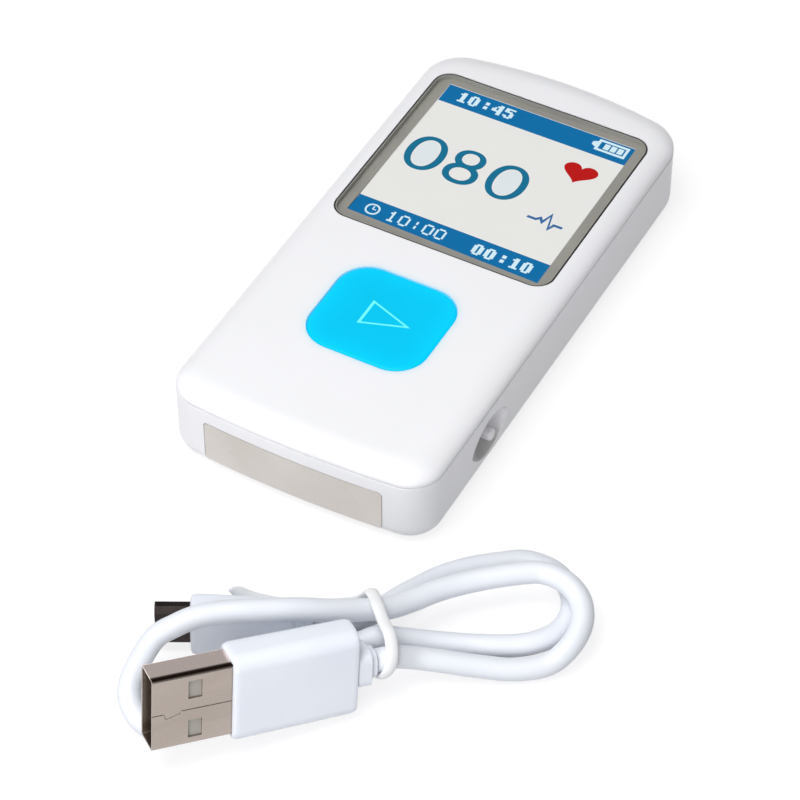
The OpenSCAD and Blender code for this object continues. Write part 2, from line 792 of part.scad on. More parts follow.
// A lead leaves the battery, rises in two bends and enters its plug level
module battery_lead(x) {
    start_y = battery_front_y - strip_l;
    translate([x, start_y, lead_z + lead_r])
        rotate([0, 90, 0])
            rotate([0, 0, -90])
                rotate_extrude(angle = 90, $fn = 48)
                    translate([lead_r, 0])
                        circle(d = lead_d, $fn = 24);
    translate([x, start_y - 2 * lead_r, lead_z + lead_r])
        rotate([0, 90, 0])
            rotate([0, 0, 90])
                rotate_extrude(angle = 90, $fn = 48)
                    translate([lead_r, 0])
                        circle(d = lead_d, $fn = 24);
}

module battery_leads() color("#b3202a") {
    for (x = [lead_x - 1.2, lead_x + 1.2])
        battery_lead(x);
}

module battery_plug() color("#efe9dc") {
    plug_l = 4;
    plug_z = lead_z + 2 * lead_r - lead_d / 2 - 0.4;
    block([6, plug_l, board_z - plug_z],
        [lead_x, battery_front_y - strip_l - 2 * lead_r - plug_l / 2, plug_z]);
}

module charging_socket() color("#b8bbc0") {
    translate([0, socket_y, socket_z + socket_h / 2])
        difference() {
            along_x(socket_mouth_x, socket_l)
                small_profile(socket_w, socket_h);
            along_x(socket_mouth_x - overcut, socket_l - socket_sheet + overcut)
                small_profile(socket_w - 2 * socket_sheet, socket_h - 2 * socket_sheet);
        }
}

module socket_insulator() color("#202224") {
    root = 1.6;
    rear_x = socket_mouth_x + socket_l - socket_sheet;
    translate([0, socket_y, socket_z + socket_h / 2]) {
        along_x(rear_x - root, root)
            small_profile(socket_w - 2 * socket_sheet - slip, socket_h - 2 * socket_sheet - slip);
        along_x(rear_x - socket_l + 3 * socket_sheet, socket_l - 3 * socket_sheet - slip)
            translate([0, 0.1])
                square([4.4, 0.6], center = true);
    }
}

module case_screws() color("#9da1a6") {
    for (place = screw_places)
        translate([place[0], place[1], screw_head_z])
            difference() {
                union() {
                    cylinder(d = screw_head_d, h = screw_head_t);
                    cylinder(d = screw_d, h = screw_top - screw_head_z);
                }
                for (turn = [0, 90])
                    rotate([0, 0, turn])
                        block([2.2, 0.5, 1], [0, 0, -0.3]);
            }
}

// ---- Cable ----

cord_path = concat(
    [cord_exit(small_at, small_turn, small_relief_l, 0)],
    spline(cord_points, cord_steps),
    [cord_exit(usb_a_at, usb_a_turn, usb_a_relief_l, 0)]);

// Least air between two stretches of the cord that are not next to each other
function least_gap(path, d, skip) =
    min([for (i = [0 : len(path) - 1 - skip], j = [i + skip : len(path) - 1])
        norm(path[i] - path[j])]) - d;
function path_length(path, k = 0) =
    k > len(path) - 2 ? 0 : norm(path[k + 1] - path[k]) + path_length(path, k + 1);

echo(cord_least_gap = least_gap(cord_path, cord_d, 6));
echo(cord_length = path_length(cord_path));

module charging_cord() color("#f4f7fa") {
    tube(cord_path, [cord_d, cord_d], [0, 0, 1], cord_sides);
}

module cable_tie() color("white") {
    tube(spline(tie_points, tie_steps), [tie_w, tie_t], plug_way(usb_a_turn), cord_sides);
}

module usb_a_place() {
    translate(usb_a_at)
        rotate(usb_a_turn)
            children();
}

module small_place() {
    translate(small_at)
        rotate(small_turn)
            children();
}

// A moulded grip that widens from the cord to the metal shell, with soft edges
module grip(length, w, t, r) {
    levels = [[0, 0.8], [0.25, 0.25], [1, 0], [length - 0.9, 0], [length - 0.2, 0.25], [length, 0.7]];
    loft([for (level = levels)
        let (share = level[0] / length)
        [for (p = rounded_outline(t[0] + (t[1] - t[0]) * share, w[0] + (w[1] - w[0]) * share,
            r, level[1]))
            [level[0], p[0], p[1]]]]);
}

module relief(lengths, w) {
    along_x(-lengths[0], lengths[0] + slip)
        rounded_rect(w[0] - 1, w[0], 1.6);
    along_x(-lengths[0] - lengths[1], lengths[1] + slip)
        rounded_rect(w[1] - 0.4, w[1], 1.6);
}

usb_sheet = 0.3;
usb_a_end = usb_a_grip_l + usb_a_shell_out;
usb_a_sunk = 6;          // metal shell inside the grip

module usb_a_grip() color("#e4eaf4") {
    usb_a_place()
        difference() {
            union() {
                grip(usb_a_grip_l, usb_a_grip_w, usb_a_grip_t, 2.2);
                relief(usb_a_relief_l, usb_a_relief_w);
            }
            along_x(usb_a_grip_l - usb_a_sunk, 2 * usb_a_sunk)
                square([usb_a_shell_t + slip, usb_a_shell_w + slip], center = true);
        }
}

// The folded seam on the near face, from the open end to the grip
seam_line = [[0, 0], [-1.7, 0], [-2, -0.9], [-4.1, -0.35], [-4.3, 0.05], [-usb_a_shell_out, 0]];

module usb_a_shell() color("#b3a9a1") {
    window_x = usb_a_end - 6.3;
    usb_a_place()
        difference() {
            along_x(usb_a_grip_l - usb_a_sunk, usb_a_sunk + usb_a_shell_out)
                rounded_rect(usb_a_shell_t, usb_a_shell_w, 0.5);
            along_x(usb_a_grip_l - usb_a_sunk + usb_sheet, usb_a_sunk + usb_a_shell_out)
                rounded_rect(usb_a_shell_t - 2 * usb_sheet, usb_a_shell_w - 2 * usb_sheet, 0.3);
            for (z = [-3.3, 3.3])
                block([2, 2 * usb_a_shell_t, 2.9], [window_x, 0, z - 1.45]);
            for (k = [0 : len(seam_line) - 2]) {
                a = seam_line[k];
                b = seam_line[k + 1];
                translate([usb_a_end + a[0], usb_a_shell_t / 2, a[1]])
                    rotate([0, -atan2(b[1] - a[1], b[0] - a[0]), 0])
                        translate([0, -0.1, -0.06])
                            cube([norm(b - a), 0.2, 0.12]);
            }
        }
}

module usb_a_insulator() color("#f3f3f0") {
    depth = 1.9;
    usb_a_place()
        along_x(usb_a_grip_l - usb_a_sunk + usb_sheet + seat, usb_a_sunk + usb_a_shell_out - 1.5)
            translate([usb_a_shell_t / 2 - usb_sheet - seat - depth / 2, 0])
                rounded_rect(depth, usb_a_shell_w - 2 * usb_sheet - 2 * seat, 0.3);
}

module usb_a_contacts() color("#d8b04c") {
    face_y = usb_a_shell_t / 2 - usb_sheet - seat - 1.9;
    usb_a_place()
        for (z = [-3.5, -1, 1, 3.5])
            block([8, 0.15, 1], [usb_a_end - 6, face_y - 0.075, z - 0.5]);
}

small_sunk = 4;           // metal shell inside the grip
small_sheet = 0.25;

module small_plug_grip() color("#eef2f8") {
    small_place()
        difference() {
            union() {
                grip(small_grip_l, small_grip_w, small_grip_t, 1.8);
                relief(small_relief_l, small_relief_w);
            }
            along_x(small_grip_l - small_sunk, 2 * small_sunk)
                square([small_shell_t + slip, small_shell_w + slip], center = true);
        }
}

module small_plug_shell() color("#6b6260") {
    small_place()
        difference() {
            along_x(small_grip_l - small_sunk, small_sunk + small_shell_out)
                rotate(90)
                    small_profile(small_shell_w, small_shell_t);
            along_x(small_grip_l - small_sunk + small_sheet, small_sunk + small_shell_out)
                rotate(90)
                    small_profile(small_shell_w - 2 * small_sheet, small_shell_t - 2 * small_sheet);
        }
}

module small_plug_insulator() color("#1d1d1f") {
    small_place()
        along_x(small_grip_l - small_sunk + small_sheet + seat, small_sunk + small_shell_out - 1.6)
            translate([-small_shell_t / 2 + small_sheet + seat + 0.35, 0])
                square([0.7, small_shell_w - 4 * small_sheet], center = true);
}

bottom_shell();
top_shell();
display_window();
window_adhesive();
display_panel();
display_carrier();
display_ribbon();
ribbon_connector();
power_button();
switch_plunger();
tact_switch();
button_light_frame();
button_lights();
front_electrode();
top_electrode();
back_electrode();
contact_pins();
main_board();
board_chips();
shield_can();
buzzer();
battery();
battery_foam();
battery_plug();
battery_leads();
charging_socket();
socket_insulator();
case_screws();
charging_cord();
cable_tie();
usb_a_shell();
usb_a_insulator();
usb_a_contacts();
usb_a_grip();
small_plug_shell();
small_plug_insulator();
small_plug_grip();
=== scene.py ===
# %% [markdown]
# # A pocket ECG monitor with its charging cable
# The construction is already done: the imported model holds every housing, plate and screw at its real
# size. This file gives those pieces their finishes, and adds what is softer or finer than a housing:
# the cord, the wire tie, the picture on the display, the printed edge of its window and the mark on the
# button. All lengths are in metres, +Y points to the display end and +Z out of the face.

import math

import bmesh
import bpy
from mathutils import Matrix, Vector


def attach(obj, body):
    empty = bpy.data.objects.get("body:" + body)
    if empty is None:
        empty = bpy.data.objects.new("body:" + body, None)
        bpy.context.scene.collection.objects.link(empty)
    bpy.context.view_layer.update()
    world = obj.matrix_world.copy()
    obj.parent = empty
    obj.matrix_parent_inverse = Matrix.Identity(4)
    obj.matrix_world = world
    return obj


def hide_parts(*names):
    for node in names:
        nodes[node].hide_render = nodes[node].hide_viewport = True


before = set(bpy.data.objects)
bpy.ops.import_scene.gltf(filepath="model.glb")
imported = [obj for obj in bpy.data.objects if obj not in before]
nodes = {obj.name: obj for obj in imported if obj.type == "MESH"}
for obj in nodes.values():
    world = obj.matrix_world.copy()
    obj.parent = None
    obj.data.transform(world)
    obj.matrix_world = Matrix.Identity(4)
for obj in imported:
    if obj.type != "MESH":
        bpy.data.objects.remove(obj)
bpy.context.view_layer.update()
MM = 0.001

# %% [markdown]
# ## The camera
# The camera comes first, because everything else is judged through it. It was solved from the corners
# of the display, the window and the button, so it is set with plain numbers instead of by eye: a long
# lens, 28 degrees round from the front and 46 degrees up.

# %% Camera
AZIMUTH, ELEVATION = math.radians(28.49), math.radians(46.15)
TARGET = Vector((4.10, -19.62, 0)) * MM
DISTANCE = 505.95 * MM
LENS = 146.29  # millimetres, on a 36 mm wide sensor

back = Vector((math.sin(AZIMUTH) * math.cos(ELEVATION), -math.cos(AZIMUTH) * math.cos(ELEVATION),
               math.sin(ELEVATION)))
camera = bpy.data.objects.new("camera", bpy.data.cameras.new("camera"))
camera.data.lens = LENS
camera.data.sensor_width = 36
camera.data.clip_start = 0.02
camera.location = TARGET + back * DISTANCE
camera.rotation_euler = (-back).to_track_quat("-Z", "Y").to_euler()
bpy.context.scene.collection.objects.link(camera)
bpy.context.scene.camera = camera
print("camera at", [round(x, 3) for x in camera.location])

# %% [markdown]
# ## The charging cord
# The real cord is a soft round lead, 3.4 mm thick. It leaves the small plug, goes round a wide fold
# behind the tie, runs back under the plugs, turns up round the metal plug, passes over the top and
# round the wide fold again, and ends in the USB plug. The route's points are those of the construction,
# so the soft cord lies just where the solid one was. A curve with a bevel would do, but a tube built
# ring by ring keeps its rings square to the route in the tight fold.

# %% Route of the cord
def fold(centre, radius, start, end, low, high, ease, steps=6):
    """Part of a circle seen from above, easing from one height to another."""
    points = []
    for i in range(steps + 1):
        share = i / steps
        a = math.radians(start + (end - start) * share)
        points.append((centre[0] + radius * math.cos(a), centre[1] + radius * math.sin(a),
                       low + (high - low) * share ** ease))
    return points


CORD_D = 3.4
REST_Z = CORD_D / 2 + 0.1
SMALL_PLUG_AT, SMALL_PLUG_TURN, SMALL_RELIEF = (14.4, -70.3, 4.75), (6, 0, 208), 2.6
USB_PLUG_AT, USB_PLUG_TURN, USB_RELIEF = (26.3, -74.5, 7.1), (13, -8, 230), 3.0


def plug_way(turn):
    """The way that a plug points."""
    pitch, yaw = math.radians(turn[1]), math.radians(turn[2])
    return Vector((math.cos(yaw) * math.cos(pitch), math.sin(yaw) * math.cos(pitch), -math.sin(pitch)))


def cord_exit(at, turn, relief, run):
    """A point straight behind a plug, as far behind its strain relief as run says."""
    return tuple(Vector(at) - plug_way(turn) * (relief + 0.02 + run))


cord_points = [
    cord_exit(SMALL_PLUG_AT, SMALL_PLUG_TURN, SMALL_RELIEF, CORD_D),
    (21.6, -64.6, 4.1), (23.2, -61.2, 3.5), (24.5, -57.2, 3), (25.8, -53.6, 2.3),
    (27.4, -50.1, 1.9), (30, -46.8, 1.8),
    *fold((39.6, -48.9), 8, 140, -50, REST_Z, REST_Z, 1),
    (41, -57.6, 1.8), (36, -60, 1.8), (31.4, -62.4, 2.4), (28.2, -64.8, 3.8), (25.9, -66.9, 5),
    (23.3, -69.5, 4), (19.6, -73.2, 2.4), (15.6, -77.4, 1.8), (12.4, -81.4, 1.8),
    (10.6, -85.2, 1.8),
    *fold((4.7, -89.1), 5.7, 0, -180, REST_Z, 5.6, 2),
    (-0.5, -84.4, 8), (1.8, -82, 9.8), (4.3, -79.7, 10.8), (7.8, -77.2, 11.2),
    (11.4, -74.9, 11.1), (15.8, -71.8, 10.6), (19.4, -68.9, 9.3), (22.1, -66.3, 8.2),
    (25.4, -62.8, 6.9), (27.4, -59.5, 6.1), (30, -55.3, 5.8), (33.8, -51.2, 5.8),
    *fold((43.8, -52.3), 7.1, 135, -45, 6.1, 1.95, 3),
    (45, -60.4, 1.8), (40, -63, 2.5), (35.6, -65.2, 3.4), (32.4, -67.2, 4.4),
    cord_exit(USB_PLUG_AT, USB_PLUG_TURN, USB_RELIEF, CORD_D),
]


def smooth_route(points, steps):
    """A smooth line through every point."""
    line = []
    for i in range(len(points) - 1):
        a, b = Vector(points[max(i - 1, 0)]), Vector(points[i])
        c, d = Vector(points[i + 1]), Vector(points[min(i + 2, len(points) - 1)])
        for j in range(steps):
            t = j / steps
            line.append((2 * b + (c - a) * t + (2 * a - 5 * b + 4 * c - d) * t * t
                         + (3 * b - a - 3 * c + d) * t ** 3) / 2)
    return line + [Vector(points[-1])]


cord_route = [Vector(cord_exit(SMALL_PLUG_AT, SMALL_PLUG_TURN, SMALL_RELIEF, 0)),
              *smooth_route(cord_points, 6),
              Vector(cord_exit(USB_PLUG_AT, USB_PLUG_TURN, USB_RELIEF, 0))]
cord_route = [p * MM for p in cord_route]

# %% [markdown]
# Rings are carried along the route without twisting: each new ring starts from the last one's
# direction. A flat strip instead keeps its wide side along one given direction, and `taper` shrinks
# the rings towards an end; the tie needs both.

# %% Tube along a route
def link(name, mesh_build):
    """A new mesh object from a bmesh, linked into the scene."""
    mesh = bpy.data.meshes.new(name)
    mesh_build.to_mesh(mesh)
    mesh_build.free()
    piece = bpy.data.objects.new(name, mesh)
    bpy.context.scene.collection.objects.link(piece)
    return piece


def tube(name, route, width, thickness, wide=None, sides=20, taper=None):
    """A closed tube along a route, smooth shaded; wide is the way its width keeps to."""
    build = bmesh.new()
    rings = []
    side = None
    for k, p in enumerate(route):
        way = (route[min(k + 1, len(route) - 1)] - route[max(k - 1, 0)]).normalized()
        side = wide or side or way.orthogonal()
        side = (side - way * side.dot(way)).normalized()
        up = way.cross(side)
        share = taper(k / (len(route) - 1)) if taper else 1
        rings.append([
            build.verts.new(p + (side * width * math.cos(a) + up * thickness * math.sin(a)) * share / 2)
            for a in (2 * math.pi * i / sides for i in range(sides))])
    for first, second in zip(rings, rings[1:]):
        for i in range(sides):
            build.faces.new((first[i], first[(i + 1) % sides], second[(i + 1) % sides], second[i]))
    build.faces.new(list(reversed(rings[0])))
    build.faces.new(rings[-1])
    for face in build.faces:
        face.smooth = len(face.verts) == 4
    return link(name, build)


cord = tube("soft_cord", cord_route, CORD_D * MM, CORD_D * MM)
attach(cord, "cable")
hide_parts("charging_cord")

# %% [markdown]
# ## The wire tie
# A tie of this kind is a soft wire in a flat white plastic coat. Its loose end stands up behind the
# small plug, and the rest goes once round the strands. Its route is the construction's too.

# %% Wire tie
TIE_W, TIE_T = 1.9, 1.0
tie_points = [
    (4.3, -71.4, 8.3), (5, -70.6, 7.2), (6.6, -69.7, 5.9), (9.6, -68.1, 4.8),
    (12.4, -66.3, 4.4), (15.2, -64.7, 4.3), (17.6, -63.5, 4.6), (19.8, -62.4, 5.2),
    (21.3, -62.1, 6.6), (22.9, -62.9, 9.2), (25.1, -65.2, 10.1), (27.2, -67.2, 9.7),
    (29.2, -69, 9.9), (30.4, -70.5, 9.2), (31.1, -71.8, 7.9), (30.8, -72.7, 6),
    (29.1, -71.6, 3.4), (26.6, -68.5, 1.6), (23.6, -64.8, 0.9), (20.8, -61.8, 1.5),
    (19.9, -61.2, 3.2), (20.1, -61.6, 4.8),
]


def tie_taper(share):
    """The coat narrows to a point at its loose tip and is rounded where it was cut."""
    return min(1, 0.35 + share * 12, 0.45 + (1 - share) * 25)


tie_route = [p * MM for p in smooth_route(tie_points, 6)]
tie = tube("wire_tie", tie_route, TIE_W * MM, TIE_T * MM, wide=plug_way(USB_PLUG_TURN),
           taper=tie_taper)
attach(tie, "cable")
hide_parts("cable_tie")

# %% [markdown]
# ## How a finish is made
# Every surface below starts from one recipe: a Principled shader whose colour, roughness and bump come
# from two noises in the object's own space, one broad and soft, one fine. Object space is used because
# every node sits at the origin, so a noise scale of 1000 means features about a millimetre across.
# Values that are the same all over go straight on the shader's sockets.

# %% Recipe of a finish
def linear(red, green, blue):
    """A colour as a paint chart or a screen gives it, 0 to 255, as light values."""
    parts = [c / 255 for c in (red, green, blue)]
    return tuple(c / 12.92 if c < 0.04045 else ((c + 0.055) / 1.055) ** 2.4 for c in parts) + (1.0,)


def add(tree, kind, **inputs):
    """A new shader node with some of its input sockets set."""
    made = tree.nodes.new(kind)
    for name, value in inputs.items():
        made.inputs[name.replace("_", " ")].default_value = value
    return made


def object_noise(tree, scale, stretch=(1, 1, 1), detail=2.0):
    """Noise in the object's own space; stretch squeezes it along an axis."""
    place = add(tree, "ShaderNodeTexCoord")
    mapping = add(tree, "ShaderNodeMapping", Scale=stretch)
    noise = add(tree, "ShaderNodeTexNoise", Scale=scale, Detail=detail)
    tree.links.new(place.outputs["Object"], mapping.inputs["Vector"])
    tree.links.new(mapping.outputs["Vector"], noise.inputs["Vector"])
    return noise.outputs["Fac"]


def spread_out(tree, value, low, high):
    """A noise value stretched over a range."""
    ranged = add(tree, "ShaderNodeMapRange")
    tree.links.new(value, ranged.inputs["Value"])
    ranged.inputs["From Min"].default_value = 0.3
    ranged.inputs["From Max"].default_value = 0.7
    ranged.inputs["To Min"].default_value = low
    ranged.inputs["To Max"].default_value = high
    return ranged.outputs["Result"]


def blend_colours(tree, factor, first, second):
    """Two colours mixed by a factor; each is a colour value or a socket."""
    mix = tree.nodes.new("ShaderNodeMix")
    mix.data_type = "RGBA"
    tree.links.new(factor, mix.inputs[0])
    for socket, colour in ((mix.inputs[6], first), (mix.inputs[7], second)):
        if isinstance(colour, bpy.types.NodeSocket):
            tree.links.new(colour, socket)
        else:
            socket.default_value = colour
    return mix.outputs[2]


def finish(name, colours, roughness, broad=150, fine=3000, bump=0.004, stretch=(1, 1, 1), rounded=0.0,
           **sockets):
    """A Principled finish: two colours, a roughness range, and a bump in millimetres."""
    material = bpy.data.materials.new(name)
    material.use_nodes = True
    tree = material.node_tree
    shader = tree.nodes["Principled BSDF"]
    for key, value in sockets.items():
        shader.inputs[key.replace("_", " ")].default_value = value
    soft = object_noise(tree, broad, stretch)
    grain = object_noise(tree, fine, stretch, detail=4.0)
    tree.links.new(blend_colours(tree, spread_out(tree, soft, 0, 1), *colours),
                   shader.inputs["Base Color"])
    tree.links.new(spread_out(tree, grain, *roughness), shader.inputs["Roughness"])
    relief = add(tree, "ShaderNodeBump", Strength=1.0, Distance=bump * MM)
    tree.links.new(grain, relief.inputs["Height"])
    if rounded:
        edge = add(tree, "ShaderNodeBevel", Radius=rounded * MM)
        edge.samples = 4
        tree.links.new(edge.outputs["Normal"], relief.inputs["Normal"])
    tree.links.new(relief.outputs["Normal"], shader.inputs["Normal"])
    return material


def wear(material, *names):
    """Gives a finish to CAD nodes or pieces."""
    for name in names:
        piece = bpy.data.objects[name]
        piece.data.materials.clear()
        piece.data.materials.append(material)


# %% [markdown]
# Moulded curves arrive as narrow flat faces. Their points stay where they are: a modifier joins the
# split corners, shades the shallow edges smooth and keeps the sharp ones, and a second one lets the
# large flat faces decide the shading, so that they stay flat.

# %% Smooth shading for CAD nodes
def smooth_by_angle(degrees):
    """A node group that shades edges below an angle smooth."""
    group = bpy.data.node_groups.new("smooth_by_angle", "GeometryNodeTree")
    group.interface.new_socket("Geometry", in_out="INPUT", socket_type="NodeSocketGeometry")
    group.interface.new_socket("Geometry", in_out="OUTPUT", socket_type="NodeSocketGeometry")
    start, end = group.nodes.new("NodeGroupInput"), group.nodes.new("NodeGroupOutput")
    merge = group.nodes.new("GeometryNodeMergeByDistance")
    merge.inputs["Distance"].default_value = 0.002 * MM
    clear = group.nodes.new("GeometryNodeRemoveAttribute")
    clear.inputs["Name"].default_value = "custom_normal"
    faces, edges = (group.nodes.new("GeometryNodeSetShadeSmooth") for _ in range(2))
    edges.domain = "EDGE"
    angle = group.nodes.new("GeometryNodeInputMeshEdgeAngle")
    shallow = group.nodes.new("FunctionNodeCompare")
    shallow.data_type, shallow.operation = "FLOAT", "LESS_EQUAL"
    shallow.inputs[1].default_value = math.radians(degrees)
    for source, target in ((start.outputs[0], clear.inputs[0]), (clear.outputs[0], merge.inputs[0]),
                           (merge.outputs[0], faces.inputs["Geometry"]),
                           (faces.outputs[0], edges.inputs["Geometry"]),
                           (angle.outputs[0], shallow.inputs[0]),
                           (shallow.outputs[0], edges.inputs["Shade Smooth"]),
                           (edges.outputs[0], end.inputs[0])):
        group.links.new(source, target)
    return group


shallow_edges = smooth_by_angle(30)
shown = [node for node in nodes.values() if not node.hide_render]
for node in shown:
    smoother = node.modifiers.new("smooth_by_angle", "NODES")
    smoother.node_group = shallow_edges
    weighted = node.modifiers.new("flat_faces_stay_flat", "WEIGHTED_NORMAL")
    weighted.keep_sharp = True
    weighted.weight = 90
print("nodes shaded smooth:", len(shown))

# %% [markdown]
# ## The white housing
# Both shells are the same white plastic, moulded with a soft gloss. A real moulding isn't perfectly
# even, so one noise shifts its white by a hair and the other makes the surface swell by a micron, as
# shrinking plastic does. Its roughness stays even, because gloss that changes reads as a stain. The
# button is lit from inside, and some of that light shows in the plastic round it: the upper shell's
# colour turns to cyan in the last millimetre before the button. That glow is worked out from the
# distance to the button's rounded edge.

# %% Finish of the shells
BUTTON = {"x": 0.0, "y": -17.9, "w": 20.1, "l": 19.0, "r": 5.3}  # millimetres


def maths(tree, operation, first, second=0.0):
    """A Math node; each input is a number or a socket."""
    made = tree.nodes.new("ShaderNodeMath")
    made.operation = operation
    for socket, value in zip(made.inputs, (first, second)):
        if isinstance(value, bpy.types.NodeSocket):
            tree.links.new(value, socket)
        else:
            socket.default_value = value
    return made.outputs[0]


def edge_distance(tree, shape):
    """Distance in millimetres from a rounded rectangle's edge, less than nothing inside it."""
    place = tree.nodes.new("ShaderNodeTexCoord")
    parts = tree.nodes.new("ShaderNodeSeparateXYZ")
    tree.links.new(place.outputs["Object"], parts.inputs[0])
    sides = []
    for axis, centre, length in ((0, shape["x"], shape["w"]), (1, shape["y"], shape["l"])):
        along = maths(tree, "SUBTRACT", maths(tree, "MULTIPLY", parts.outputs[axis], 1000), centre)
        sides.append(maths(tree, "SUBTRACT", maths(tree, "ABSOLUTE", along), length / 2 - shape["r"]))
    outside = [maths(tree, "MAXIMUM", side, 0) for side in sides]
    far = maths(tree, "SQRT", maths(tree, "ADD", maths(tree, "POWER", outside[0], 2),
                                    maths(tree, "POWER", outside[1], 2)))
    near = maths(tree, "MINIMUM", maths(tree, "MAXIMUM", sides[0], sides[1]), 0)
    return maths(tree, "SUBTRACT", maths(tree, "ADD", far, near), shape["r"])


def growth(tree, distance, rate):
    """A share that is one at the edge and grows, or falls away, by a rate per millimetre."""
    return maths(tree, "POWER", 2.718, maths(tree, "MULTIPLY", distance, rate))


def paint_of(material):
    """A finish's node tree, its shader and the socket that its colour comes from."""
    tree = material.node_tree
    shader = tree.nodes["Principled BSDF"]
    return tree, shader, shader.inputs["Base Color"].links[0].from_socket


WHITE, WARM_WHITE, GLOSS = linear(244, 244, 247), linear(242, 242, 244), 0.28
GLOW_RATE, GLOW_SHARE, GLOW_MOST = -2.2, 0.55, 0.7


def housing_white(name, **more):
    """The white plastic of the housing, equally glossy all over."""
    return finish(name, (WHITE, WARM_WHITE), (GLOSS, GLOSS), broad=60, fine=120, bump=0.001,
                  IOR=1.48, **more)


shell_white = housing_white("white_shell", rounded=0.15)
face_white = housing_white("white_face", rounded=0.15)
tree, shader, plain = paint_of(face_white)
glow = growth(tree, edge_distance(tree, BUTTON), GLOW_RATE)
glow = maths(tree, "MINIMUM", maths(tree, "MULTIPLY", glow, GLOW_SHARE), GLOW_MOST)
tree.links.new(blend_colours(tree, glow, plain, linear(120, 222, 250)), shader.inputs["Base Color"])
wear(face_white, "top_shell")
print("glow round a button of", BUTTON["w"], "x", BUTTON["l"], "mm")

# %% [markdown]
# The hollow for the strap, in the right side, is white like the rest. Its roof and the gap under the
# strap peg lie in deep shade in the picture, so the colour darkens there by place. The peg, round
# and with a soft rim, would be moulded with the shell; here it is a piece of its own.

# %% Hollow and strap peg
HOLLOW_X, HOLLOW_Y = (18.4, 22.44), (-31.2, -18.4)
ROOF_Z = (7.4, 9.0)  # the shade begins and is full
PEG_X, PEG_Y, PEG_Z = 20.55, -23.6, 5.0
PEG_D, PEG_L, PEG_ROUNDING = 2.1, 3.6, 0.45


def step_up(tree, value, low, high):
    """Nothing below low, all above high, and a soft change between."""
    ranged = add(tree, "ShaderNodeMapRange")
    ranged.interpolation_type = "SMOOTHSTEP"
    ranged.inputs["From Min"].default_value = low
    ranged.inputs["From Max"].default_value = high
    tree.links.new(value, ranged.inputs["Value"])
    return ranged.outputs["Result"]


def step_down(tree, value, low, high):
    """All below low, nothing above high."""
    return maths(tree, "SUBTRACT", 1, step_up(tree, value, low, high))


tree, shader, plain = paint_of(shell_white)
place = tree.nodes.new("ShaderNodeSeparateXYZ")
tree.links.new(add(tree, "ShaderNodeTexCoord").outputs["Object"], place.inputs[0])
side, depth, height = (maths(tree, "MULTIPLY", axis, 1000) for axis in place.outputs)
inside = step_up(tree, side, HOLLOW_X[0], HOLLOW_X[0] + 0.1)
for edge in (step_down(tree, side, HOLLOW_X[1] - 0.3, HOLLOW_X[1]),
             step_up(tree, depth, HOLLOW_Y[0] - 0.1, HOLLOW_Y[0] + 0.1),
             step_down(tree, depth, HOLLOW_Y[1] - 0.1, HOLLOW_Y[1] + 0.1)):
    inside = maths(tree, "MULTIPLY", inside, edge)
roof = step_up(tree, height, *ROOF_Z)
under = step_down(tree, height, PEG_Z - 1.9, PEG_Z - 0.6)
shade = maths(tree, "MULTIPLY", maths(tree, "MAXIMUM", roof, under), inside)
tree.links.new(blend_colours(tree, shade, plain, linear(198, 197, 196)), shader.inputs["Base Color"])
wear(shell_white, "bottom_shell")

build = bmesh.new()
bmesh.ops.create_cone(build, cap_ends=True, segments=32, radius1=PEG_D / 2 * MM,
                      radius2=PEG_D / 2 * MM, depth=PEG_L * MM)
outer_rim = [edge for edge in build.edges if all(v.co.z > 0 for v in edge.verts)]
bmesh.ops.bevel(build, geom=outer_rim, offset=PEG_ROUNDING * MM, segments=5, affect="EDGES",
                profile=0.5)
for face in build.faces:
    face.smooth = True
peg = link("strap_peg", build)
peg.rotation_euler = (0, math.pi / 2, 0)
peg.location = Vector((PEG_X, PEG_Y, PEG_Z)) * MM
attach(peg, "monitor")
wear(housing_white("white_peg"), "strap_peg")
print("peg", PEG_D, "mm thick and", PEG_L, "mm long")

# %% [markdown]
# ## The electrodes
# The finger plates are stamped from thin stainless sheet and blasted to a fine matte, slightly warm
# grey. The fine grain gives them their sparkle, and a high roughness keeps it soft.

# %% Finish of the electrodes
electrode_steel = finish("matte_steel_plate", (linear(214, 209, 204), linear(205, 199, 193)),
                         (0.42, 0.58), broad=90, fine=5200, bump=0.0025, rounded=0.12, Metallic=0.65)
wear(electrode_steel, "front_electrode", "top_electrode", "back_electrode")

# %% [markdown]
# ## The display window
# The window is a clear plate with a warm grey border printed on its underside. The construction has it
# as one plate, so it is rebuilt here as four pieces in the same space: the clear pane, the printed
# border, a skirt in the border's grey round the pane's edge, and a thin black band at its rim, which
# is painted shade for the dark gap between the window and the shell.

# %% Flat shapes
WINDOW_Z, WINDOW_TOP = 13.4, 14.4
SCREEN_Y = 19.0
WINDOW = {"x": 0.0, "y": 18.85, "w": 38.6, "l": 38.9, "r": 3.0}


def rounded_outline(shape, inset=0.0, steps=10):
    """Points round a rounded rectangle, in millimetres."""
    points = []
    w, l, r = shape["w"] / 2 - inset, shape["l"] / 2 - inset, max(shape["r"] - inset, 0.02)
    for cx, cy, start in ((w - r, l - r, 0), (r - w, l - r, 90),
                          (r - w, r - l, 180), (w - r, r - l, 270)):
        for i in range(steps + 1):
            a = math.radians(start + 90 * i / steps)
            points.append((shape["x"] + cx + r * math.cos(a), shape["y"] + cy + r * math.sin(a)))
    return points


